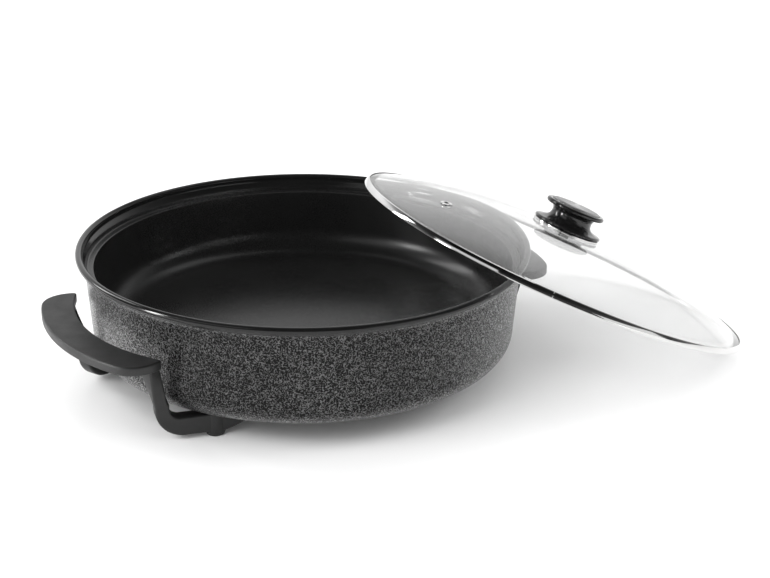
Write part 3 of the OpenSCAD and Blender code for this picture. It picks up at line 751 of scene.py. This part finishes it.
def leg_parts(mirror):
    S = Matrix.Scale(-1, 4, (0, 1, 0)) if mirror else Matrix.Identity(4)
    L = R(LEG_SHIFT, "Z") @ S
    leg_in = -138 - 25 + 12
    prof = rounded(
        arc(-138, 29, 25, 180, 270, 14)
        + [(-104, 4.0, 18), (-80, 13.0, 2.8), (-80, 21.0, 2.8)]
        + arc(leg_in + 9, 30.0, 9, -90, -180, 8)
        + [(leg_in, 35.6, 2.8), (-163, 35.6, 2.8)],
        step=12,
    )
    bar = plate("bar", prof, 0, 13, 1.9, 1.9, L @ R(161, "Z") @ T(0, -125 + 6.5, 0) @ R(90, "X"))
    sections = []
    for i in range(15):
        u = i / 14
        e = u * u * (3 - 2 * u)
        w = rrect(11.3, 12.3, 2.0)
        a = Vector((-163 + 6.0, -125, 0))
        a.rotate(R(161, "Z").to_3x3().to_quaternion())
        b = Vector((213.6, 0, 0))
        b.rotate(R(19.4, "Z").to_3x3().to_quaternion())
        c = a.lerp(b, u)
        z = 29.0 + (GRIP_Z - 2.0 - 29.0) * u
        ang = rad(161 + (199.4 - 161) * e)
        sections.append([
            (c.x + x * math.cos(ang) - y * math.sin(ang), c.y + x * math.sin(ang) + y * math.cos(ang), z) for x, y in w
        ])
    up = loft("upright", sections, L)
    post = lathe(
        "post",
        rounded([(0, 1), (8.5, 1, 1.6), (8.5, 21.0), (0, 21.0)], closed=False, step=12) ,
        64,
        L @ T(146.4, 81.5, 0),
    )
    return [up, bar, post]


def handle(name, az, node):
    H = AZ(az)
    g = plate(name, grip_outline(), GRIP_Z - GRIP_T, GRIP_Z, 1.5, 1.1, H, seg=6)
    tools = []
    for mir in (False, True):
        for o in leg_parts(mir):
            o.data.transform(Matrix.Scale(MM, 4) @ H @ Matrix.Scale(1 / MM, 4))
            tools.append(o)
    boolean(g, tools, "UNION")
    holes = []
    for s in (-1, 1):
        P = H @ R(LEG_SHIFT, "Z") @ T(146.4, s * 81.5, 0)
        holes.append(cyl(5.0, 10, 48, P @ T(0, 0, -1)))
        holes.append(cyl(2.6, 40, 32, P))
    boolean(g, holes, "DIFFERENCE")
    return piece(g, name, M["phenolic_black"], "phenolic_black", "base", node)


handle("left_grip_and_legs", HANDLE_AZ, "left_handle")
handle("right_grip_and_legs", HANDLE_AZ + 180, "right_handle")

for i, P in enumerate(POSTS):
    prof = rounded([(0, 0), (7.6, 0, 0.45), (7.6, 1.0, 0.2), (4.9, 1.0), (4.9, 5.0, 0.4), (0, 5.0)], closed=False)
    piece(lathe("pad", prof, 56, P), "foot_pad_%d" % (i + 1), M["rubber_black"], "rubber_black", "base")
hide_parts("foot_pads")

# ------------------------------------------------------------------ lid
gt = [(GLASS_R * i / 40, dome_z(GLASS_R * i / 40)) for i in range(41)]
gb = [((GLASS_R - 5) * (1 - i / 40), dome_z((GLASS_R - 5) * (1 - i / 40)) - GLASS_T) for i in range(41)]
glass_prof = (
    [(3.6, dome_z(3.6))] + gt[1:-1]
    + rounded([gt[-2], (GLASS_R, BAND_H / 2 - 1, 0.5), (GLASS_R, BAND_H / 2 - 4.2, 0.8), (GLASS_R - 4, BAND_H / 2 - 4.2, 0.5), gb[0]], closed=False)[1:-1]
    + gb[:-1] + [(3.6, dome_z(3.6) - GLASS_T)]
)
glass = lathe("lid_glass_dome", glass_prof, 320, LID, sharp=60)
boolean(glass, [cyl(4.2, 60, 48, LID @ T(-136, -12.5, -2))], "DIFFERENCE", sharp=60)
piece(glass, "lid_glass_dome", M["clear_glass"], "clear_glass", "lid", "lid_glass")

# rolled band: a faintly bowed outer face that leans in, a lip over the glass and one turned under it, with a butt seam
h = BAND_H / 2
bow = [(LID_R - 1.2 * t + 0.22 * math.sin(math.pi * t) - 0.05, -h + 0.9 + t * (2 * h - 1.9)) for t in [k / 12 for k in range(13)]]
band_prof = bow + rounded(
    [bow[-1], (LID_R - 1.75, h - 0.1, 0.6), (LID_R - 3.1, h + 0.55, 0.25), (LID_R - 3.2, h, 0.15), (LID_R - 1.45, h - 0.85, 0.3),
     (GLASS_R + 0.1, -h + 0.7, 0.2), (LID_R - 5.2, -h + 0.7, 0.2), (LID_R - 5.2, -h, 0.2), (LID_R - 0.5, -h, 0.75), bow[0]],
    closed=False, step=12)[1:-1]
SEAM = -118.6
band = lathe("lid_steel_band", band_prof, 360, LID, sharp=40, a0=SEAM + 0.07, a1=SEAM + 359.93)
piece(band, "lid_steel_band", M["polished_steel"], "polished_steel", "lid", "lid_band")

vent_r = math.hypot(136, 12.5)
vent_slope = math.degrees(math.atan(DOME_H * DOME_P * (vent_r / GLASS_R) ** (DOME_P - 1) / GLASS_R))
VENT = LID @ T(-136, -12.5, dome_z(vent_r)) @ R(math.degrees(math.atan2(-12.5, -136)), "Z") @ R(vent_slope, "Y")
eye_prof = rounded([(2.4, -5.6, 0.2), (5, -5.6, 0.2), (5, -4.9, 0.2), (3.5, -4.5, 0.3), (3.5, 0.1), (5.6, 0.2, 0.15), (5.6, 0.65, 0.3), (4.6, 1.1, 0.6), (3.1, 1.0, 0.5), (2.4, 0.4, 0.4)])
piece(lathe("vent_eyelet_ring", eye_prof, 64, VENT), "vent_eyelet_ring", M["polished_steel"], "polished_steel", "lid", "vent_eyelet")


def ring_z(r):
    return dome_z(r) - APEX + 0.05


ring_prof = rounded([(26, ring_z(26), 0.2), (29.6, ring_z(29.6)), (33.2, ring_z(33.2), 0.3), (33.2, 1.2, 0.6), (32.2, 1.2, 0.2), (26, 1.2, 0.2)], step=12)
piece(lathe("knob_polished_ring", ring_prof, 160, KNOB), "knob_polished_ring", M["polished_steel"], "polished_steel", "lid", "knob_base_ring")


def smooth_curve(pts, n=6):
    """Catmull-Rom through the points."""
    p = [np.array(q, float) for q in pts]
    p = [2 * p[0] - p[1]] + p + [2 * p[-1] - p[-2]]
    out = []
    for i in range(1, len(p) - 2):
        for j in range(n):
            t = j / n
            out.append(tuple(0.5 * ((2 * p[i]) + (p[i + 1] - p[i - 1]) * t + (2 * p[i - 1] - 5 * p[i] + 4 * p[i + 1] - p[i + 2]) * t * t + (3 * p[i] - p[i - 1] - 3 * p[i + 1] + p[i + 2]) * t ** 3)))
    out.append(tuple(p[-2]))
    return out


body_prof = (
    [(2.6, 0.1), (25.8, 0.1), (25.8, 1.3), (32.0, 1.3)]
    + arc(31.7, 3.1, 1.5, -68, 70, 12)
    + smooth_curve([(31.0, 4.85), (29.4, 5.15), (26.5, 5.8), (23.4, 7.0), (21.4, 8.7), (20.5, 10.8), (20.2, 13.2), (20.5, 15.4), (21.8, 17.3), (24.0, 18.45), (26.0, 18.9)], 6)
    + arc(26.8, 21.2, 2.3, -86, 88, 16)
    + [(25.4, 23.55), (24.6, 23.5), (24.2, 23.1), (24.2, 22.4), (2.0, 22.4), (2.0, 17.0), (2.6, 17.0)]
)
piece(lathe("knob_turned_body", body_prof, 192, KNOB, sharp=45), "knob_turned_body", M["gloss_black"], "gloss_black", "lid", "knob_body")
cap_prof = rounded([(0, 22.5), (23.9, 22.5, 0.2), (23.9, 24.0, 0.4), (22.6, 24.7, 1.0), (22.0, 24.45, 0.4), (21.2, 24.5, 0.4), (20.4, 25.0, 0.8), (12, 25.6, 20), (0, 25.85)], closed=False, step=6)
piece(lathe("knob_inset_plate", cap_prof, 160, KNOB, sharp=45), "knob_inset_plate", M["silver_cap"], "silver_cap", "lid", "knob_cap")
gas = rounded([(2.7, -GLASS_T - 1.6, 0.3), (13, -GLASS_T - 1.6, 0.5), (13, -GLASS_T - 0.3, 0.5), (2.7, -GLASS_T - 0.3, 0.3)])
piece(lathe("knob_soft_gasket", gas, 96, KNOB), "knob_soft_gasket", M["clear_silicone"], "clear_silicone", "lid", "knob_gasket")
was = rounded([(2.7, -GLASS_T - 3.0, 0.3), (12, -GLASS_T - 3.0, 0.6), (12, -GLASS_T - 1.65, 0.4), (2.7, -GLASS_T - 1.65, 0.2)])
piece(lathe("knob_dished_washer", was, 96, KNOB), "knob_dished_washer", M["polished_steel"], "polished_steel", "lid", "knob_washer")

# ------------------------------------------------------------------ socket and controller
CX, CL, CW, CH = 211.4, 92.0, 52.0, 30.0
DIAL_X = CX + 48


def eased(name, node, width, slot, body, **kw):
    return piece(soft_copy(name, node, width, **kw), name, M[slot], slot, body, node)


eased("inlet_shroud_moulding", "inlet_shroud", 0.8, "phenolic_black", "base", seg=3)

outline = [(CX, -CW / 2), (CX + CL * 0.55, -CW / 2)]
for i in range(1, 19):
    a = rad(90 * i / 18)
    outline.append((CX + CL * 0.55 + CL * 0.45 * math.sin(a), -CW / 2 + (CW / 2 - 13) * (1 - math.cos(a))))
for i in range(18, 0, -1):
    a = rad(90 * i / 18)
    outline.append((CX + CL * 0.55 + CL * 0.45 * math.sin(a), CW / 2 - (CW / 2 - 13) * (1 - math.cos(a))))
outline += [(CX + CL * 0.55, CW / 2), (CX, CW / 2)]
smooth_outline = rounded([(x, y, 3.4) if (abs(x - CX) < 0.1 or x > CX + CL - 0.6) else (x, y) for x, y in outline], step=8)
cover = plate("cover", smooth_outline, 31.0, 46.0, 3.2, 0.5, INLET, seg=7)
boss = lathe("boss", rounded([(0, 44), (22, 44), (22, 47, 0.7), (0, 47)], closed=False), 96, INLET @ T(DIAL_X, 0, 0))
boolean(cover, [boss], "UNION")
inner_c = [(CX + 2.5, -CW / 2 + 2.5), (CX + CL * 0.55, -CW / 2 + 2.5), (CX + CL - 16, -17), (CX + CL - 13.6, -10), (CX + CL - 13.6, 10), (CX + CL - 16, 17), (CX + CL * 0.55, CW / 2 - 2.5), (CX + 2.5, CW / 2 - 2.5)]
hollow = plate("tool", inner_c, 30.0, 43.4, 0, 0, INLET)
tools = [hollow, cyl(4.05, 40, 48, INLET @ T(DIAL_X, 0, 31)), cyl(4.1, 40, 48, INLET @ T(CX + 14, 0, 31)),
         cyl(6.55, 40, 48, INLET @ T(CX + CL - 15, 0, INLET_Z) @ R(90, "Y"))]
boolean(cover, tools, "DIFFERENCE")
piece(cover, "controller_top_half", M["controller_black"], "controller_black", "controller", "controller_cover")
eased("controller_lower_half", "controller_base", 0.7, "controller_black", "controller", seg=3)

lens = [(0, 39.0), (3.95, 39.0), (3.95, 46.05), (4.6, 46.05)] + arc(0, 43.4, 5.3, 31, 90, 14)
piece(lathe("pilot_lamp_lens", lens, 64, INLET @ T(CX + 14, 0, 0)), "pilot_lamp_lens", M["amber_lens"], "amber_lens", "controller", "pilot_lens")

# strain relief with its ribs
bp, z = [(3.6, 0), (6.45, 0, 0.3), (6.45, 14)], 14.0
rib = [(6.45, 14.0)]
for i in range(4):
    z0 = 19 + 6 * i
    r0 = 6.45 - 1.45 * (z0 - 14) / 30
    r1 = 6.45 - 1.45 * (z0 + 2 - 14) / 30
    rib += [(r0, z0, 0.35), (4.75, z0 + 0.1, 0.25), (4.75, z0 + 1.9, 0.25), (r1, z0 + 2, 0.35)]
bp = rounded([(3.6, 0), (6.45, 0, 0.3)] + rib + [(5.0, 44, 0.8), (3.6, 44, 0.4)], step=15)
piece(lathe("strain_relief", bp, 72, INLET @ T(CX + CL - 14, 0, INLET_Z) @ R(90, "Y")), "strain_relief", M["rubber_black"], "rubber_black", "controller", "cord_bushing")

# dial: skirt, fluted grip, marks and numbers
DZ = 47.5


def flute(r, z, t):
    if z < DZ + 3.3 or r < 12.5:
        return r
    k = 0.5 + 0.5 * math.cos(18 * t)
    return r - 1.15 * (1 - k) ** 2 * min(1, (z - DZ - 3.3) / 1.2) * min(1, max(0, (r - 12.5) / 3.0))


dp = rounded([(4.02, 0), (19.0, 0, 0.4), (19.0, 2.3, 0.8), (18.1, 3.1, 0.6), (17.2, 4.6, 1.0), (16.1, 11.2), (15.6, 12.0, 0.9), (12.4, 12.0), (12.0, 11.6, 0.3), (0.0, 11.6)], closed=False, step=10)
dp = [(x, z + DZ) for x, z in dp] + [(0, DZ + 7.6), (4.02, DZ + 7.6)]
side_pts = []
for i in range(len(dp)):
    side_pts.append(dp[i])
    j = (i + 1) % len(dp)
    if abs(dp[j][1] - dp[i][1]) > 3 and dp[i][0] > 14:
        for q in range(1, 6):
            side_pts.append((dp[i][0] + (dp[j][0] - dp[i][0]) * q / 6, dp[i][1] + (dp[j][1] - dp[i][1]) * q / 6))
piece(lathe("dial_fluted_grip", side_pts, 288, INLET @ T(DIAL_X, 0, 0), sharp=40, radius=flute), "dial_fluted_grip", M["controller_black"], "controller_black", "dial", "control_dial")


def print_mesh(name, text, size, matrix, thick=0.10):
    cu = bpy.data.curves.new(name, "FONT")
    cu.body, cu.size, cu.align_x, cu.align_y = text, size, "CENTER", "CENTER"
    cu.extrude = thick / 2
    cu.resolution_u = 4
    o = bpy.data.objects.new(name, cu)
    bpy.context.scene.collection.objects.link(o)
    bpy.context.view_layer.update()
    me = bpy.data.meshes.new_from_object(o.evaluated_get(bpy.context.evaluated_depsgraph_get()))
    bpy.data.objects.remove(o)
    bpy.data.curves.remove(cu)
    me.transform(Matrix.Scale(MM, 4) @ matrix)
    bm = bmesh.new()
    bm.from_mesh(me)
    bmesh.ops.remove_doubles(bm, verts=bm.verts, dist=1e-7)
    bm.to_mesh(me)
    bm.free()
    q = bpy.data.objects.new(name, me)
    bpy.context.scene.collection.objects.link(q)
    return q


for k in range(6):
    a = 180 + 54 * k
    D = INLET @ T(DIAL_X, 0, DZ + 11.6 + 0.04) @ R(a, "Z") @ T(8.6, 0, 0) @ R(-90, "Z")
    piece(print_mesh("num", str(k), 3.6, D), "dial_number_%d" % k, M["print_pale"], "controller_black", "dial")
    tick = plate("t", rrect(1.7, 0.5, 0.2, 3), 0, 0.10, 0, 0, INLET @ T(DIAL_X, 0, DZ + 11.58) @ R(a, "Z") @ T(11.1, 0, 0))
    piece(tick, "dial_tick_%d" % k, M["print_pale"], "controller_black", "dial")
mark = plate("m", rounded([(-1.5, -1.6, 0.2), (1.6, 0, 0.2), (-1.5, 1.6, 0.2)]), 0, 0.12, 0, 0, INLET @ T(DIAL_X - 24.6, 0, 45.97))
piece(mark, "dial_pointer", M["print_pale"], "controller_black", "controller")

# ------------------------------------------------------------------ floor
fl = []
steps = [0, 0.6, 1.2, 2.4, 5, 9]
fv, ff = lathe_data([(0, 0)] + [(s * 1000, 0) for s in steps[1:]] + [(9000, -20), (0, -20)], 96)
floor = make("studio_floor", fv, ff, T(0, 300, -0.05))
fm = Mat("studio_paper").set(IOR=1.45)
fc = fm.noise(3, 3, 0.5)
fm.color(fm.mixc(fm.range(fc, 0.3, 0.7, 0, 1), (0.86, 0.86, 0.86), (0.875, 0.875, 0.875)))
fm.set(Roughness=0.42, Specular_IOR_Level=0.35)
fm.normal(fm.bump(fm.noise(500, 2), 0.03, 0.0001))
floor.data.materials.append(fm.m)

# ------------------------------------------------------------------ light
world = bpy.data.worlds.new("studio")
bpy.context.scene.world = world
world.use_nodes = True
wt = world.node_tree
wt.nodes.clear()
wo = wt.nodes.new("ShaderNodeOutputWorld")
bg = wt.nodes.new("ShaderNodeBackground")
wt.links.new(bg.outputs[0], wo.inputs[0])
tc = wt.nodes.new("ShaderNodeTexCoord")
sx = wt.nodes.new("ShaderNodeSeparateXYZ")
wt.links.new(tc.outputs["Generated"], sx.inputs[0])


def wramp(sock, stops):
    n = wt.nodes.new("ShaderNodeValToRGB")
    e = n.color_ramp.elements
    while len(e) > 1:
        e.remove(e[-1])
    for i, (p, c) in enumerate(stops):
        s = e[0] if i == 0 else e.new(p)
        s.position, s.color = p, (c, c, c, 1)
    mr = wt.nodes.new("ShaderNodeMapRange")
    for i, x in enumerate((-1, 1, 0, 1)):
        mr.inputs[i + 1].default_value = x
    wt.links.new(sock, mr.inputs[0])
    wt.links.new(mr.outputs[0], n.inputs[0])
    return n.outputs[0]


def wmix(kind, fac, a, b):
    n = wt.nodes.new("ShaderNodeMix")
    n.data_type, n.blend_type = "RGBA", kind
    for s, v in ((n.inputs[0], fac), (n.inputs[6], a), (n.inputs[7], b)):
        if isinstance(v, (int, float)):
            s.default_value = v if s.type == "VALUE" else (v, v, v, 1)
        else:
            wt.links.new(v, s)
    return n.outputs[2]


lp = wt.nodes.new("ShaderNodeLightPath")
# what shiny surfaces see: a white sweep behind, a dark room on the camera's side
back = wramp(sx.outputs[1], [(0.0, 0.04), (0.42, 0.05), (0.62, 0.25), (0.80, 0.9), (0.88, 1.0), (1.0, 1.0)])
high = wramp(sx.outputs[2], [(0.0, 1.0), (0.5, 1.0), (0.66, 1.2), (0.72, 1.15), (0.78, 0.45), (0.86, 0.15), (1.0, 0.2)])
glossy = wmix("MULTIPLY", 1.0, back, high)
plain = wmix("MIX", lp.outputs["Is Glossy Ray"], 1.10, glossy)
bounced = wt.nodes.new("ShaderNodeMath")
bounced.operation = "MINIMUM"
bounced.inputs[1].default_value = 1.0
wt.links.new(lp.outputs["Diffuse Depth"], bounced.inputs[0])
behind = wmix("MIX", bounced.outputs[0], 0.95, 0.45)
through = wmix("MIX", lp.outputs["Is Transmission Ray"], plain, behind)
sees = wmix("MIX", lp.outputs["Is Camera Ray"], through, 1.0)
wt.links.new(sees, bg.inputs[0])
bg.inputs[1].default_value = 1.0


def area(name, loc, aim, w, h_, power, col=(1, 1, 1)):
    li = bpy.data.lights.new(name, "AREA")
    li.shape, li.size, li.size_y, li.energy, li.color = "RECTANGLE", w, h_, power, col
    o = bpy.data.objects.new(name, li)
    bpy.context.scene.collection.objects.link(o)
    o.location = loc
    o.rotation_mode = "QUATERNION"
    o.rotation_quaternion = (Vector(aim) - Vector(loc)).to_track_quat("-Z", "Y")
    return o


area("left_strip", (-1.75, 0.60, 1.07), (-0.05, 0.0, 0.15), 0.34, 1.1, 12)
area("front_left_softbox", (-1.35, -1.10, 1.3), (-0.1, 0.0, 0.12), 1.5, 0.8, 22).visible_glossy = False
area("left_low_strip", (-1.8, -0.7, 0.45), (-0.1, 0.0, 0.1), 0.25, 0.9, 24).visible_diffuse = False
area("left_card", (-1.5, -1.25, 1.35), (-0.1, 0.0, 0.12), 1.7, 1.0, 4)
area("front_right_card", (1.9, -1.6, 0.35), (0.1, 0.0, 0.1), 1.8, 0.9, 4.5)
area("right_softbox", (2.0, 0.1, 1.3), (0.1, 0.0, 0.1), 0.9, 0.9, 13).visible_glossy = False
area("top_softbox", (0.1, 0.9, 1.7), (0.0, 0.0, 0.05), 1.6, 0.7, 5)

# ------------------------------------------------------------------ camera
E, ROLL = rad(21.69347), rad(0.86753)
D_, TX, TY, H_ = 1382.28, 74.259, -46.623, 118.0
c_, s_ = math.cos(ROLL), math.sin(ROLL)
fwd = Vector((0, math.cos(E), -math.sin(E)))
right, up = Vector((1, 0, 0)), Vector((0, math.sin(E), math.cos(E)))
r2, u2 = c_ * right + s_ * up, -s_ * right + c_ * up
loc = (Vector((TX + PX, PY, H_ + TY)) - D_ * fwd) * MM
cam = bpy.data.cameras.new("camera")
cam.sensor_fit, cam.sensor_width, cam.lens = "HORIZONTAL", 36.0, 1500 / 770 * 36
cam.clip_start, cam.clip_end = 0.05, 50
co = bpy.data.objects.new("camera", cam)
bpy.context.scene.collection.objects.link(co)
m3 = Matrix((r2, u2, -fwd)).transposed()
co.matrix_world = Matrix.Translation(loc) @ m3.to_4x4()
bpy.context.scene.camera = co

vs = bpy.context.scene.view_settings
vs.view_transform, vs.look, vs.exposure, vs.gamma = "Standard", "None", 0.0, 1.0
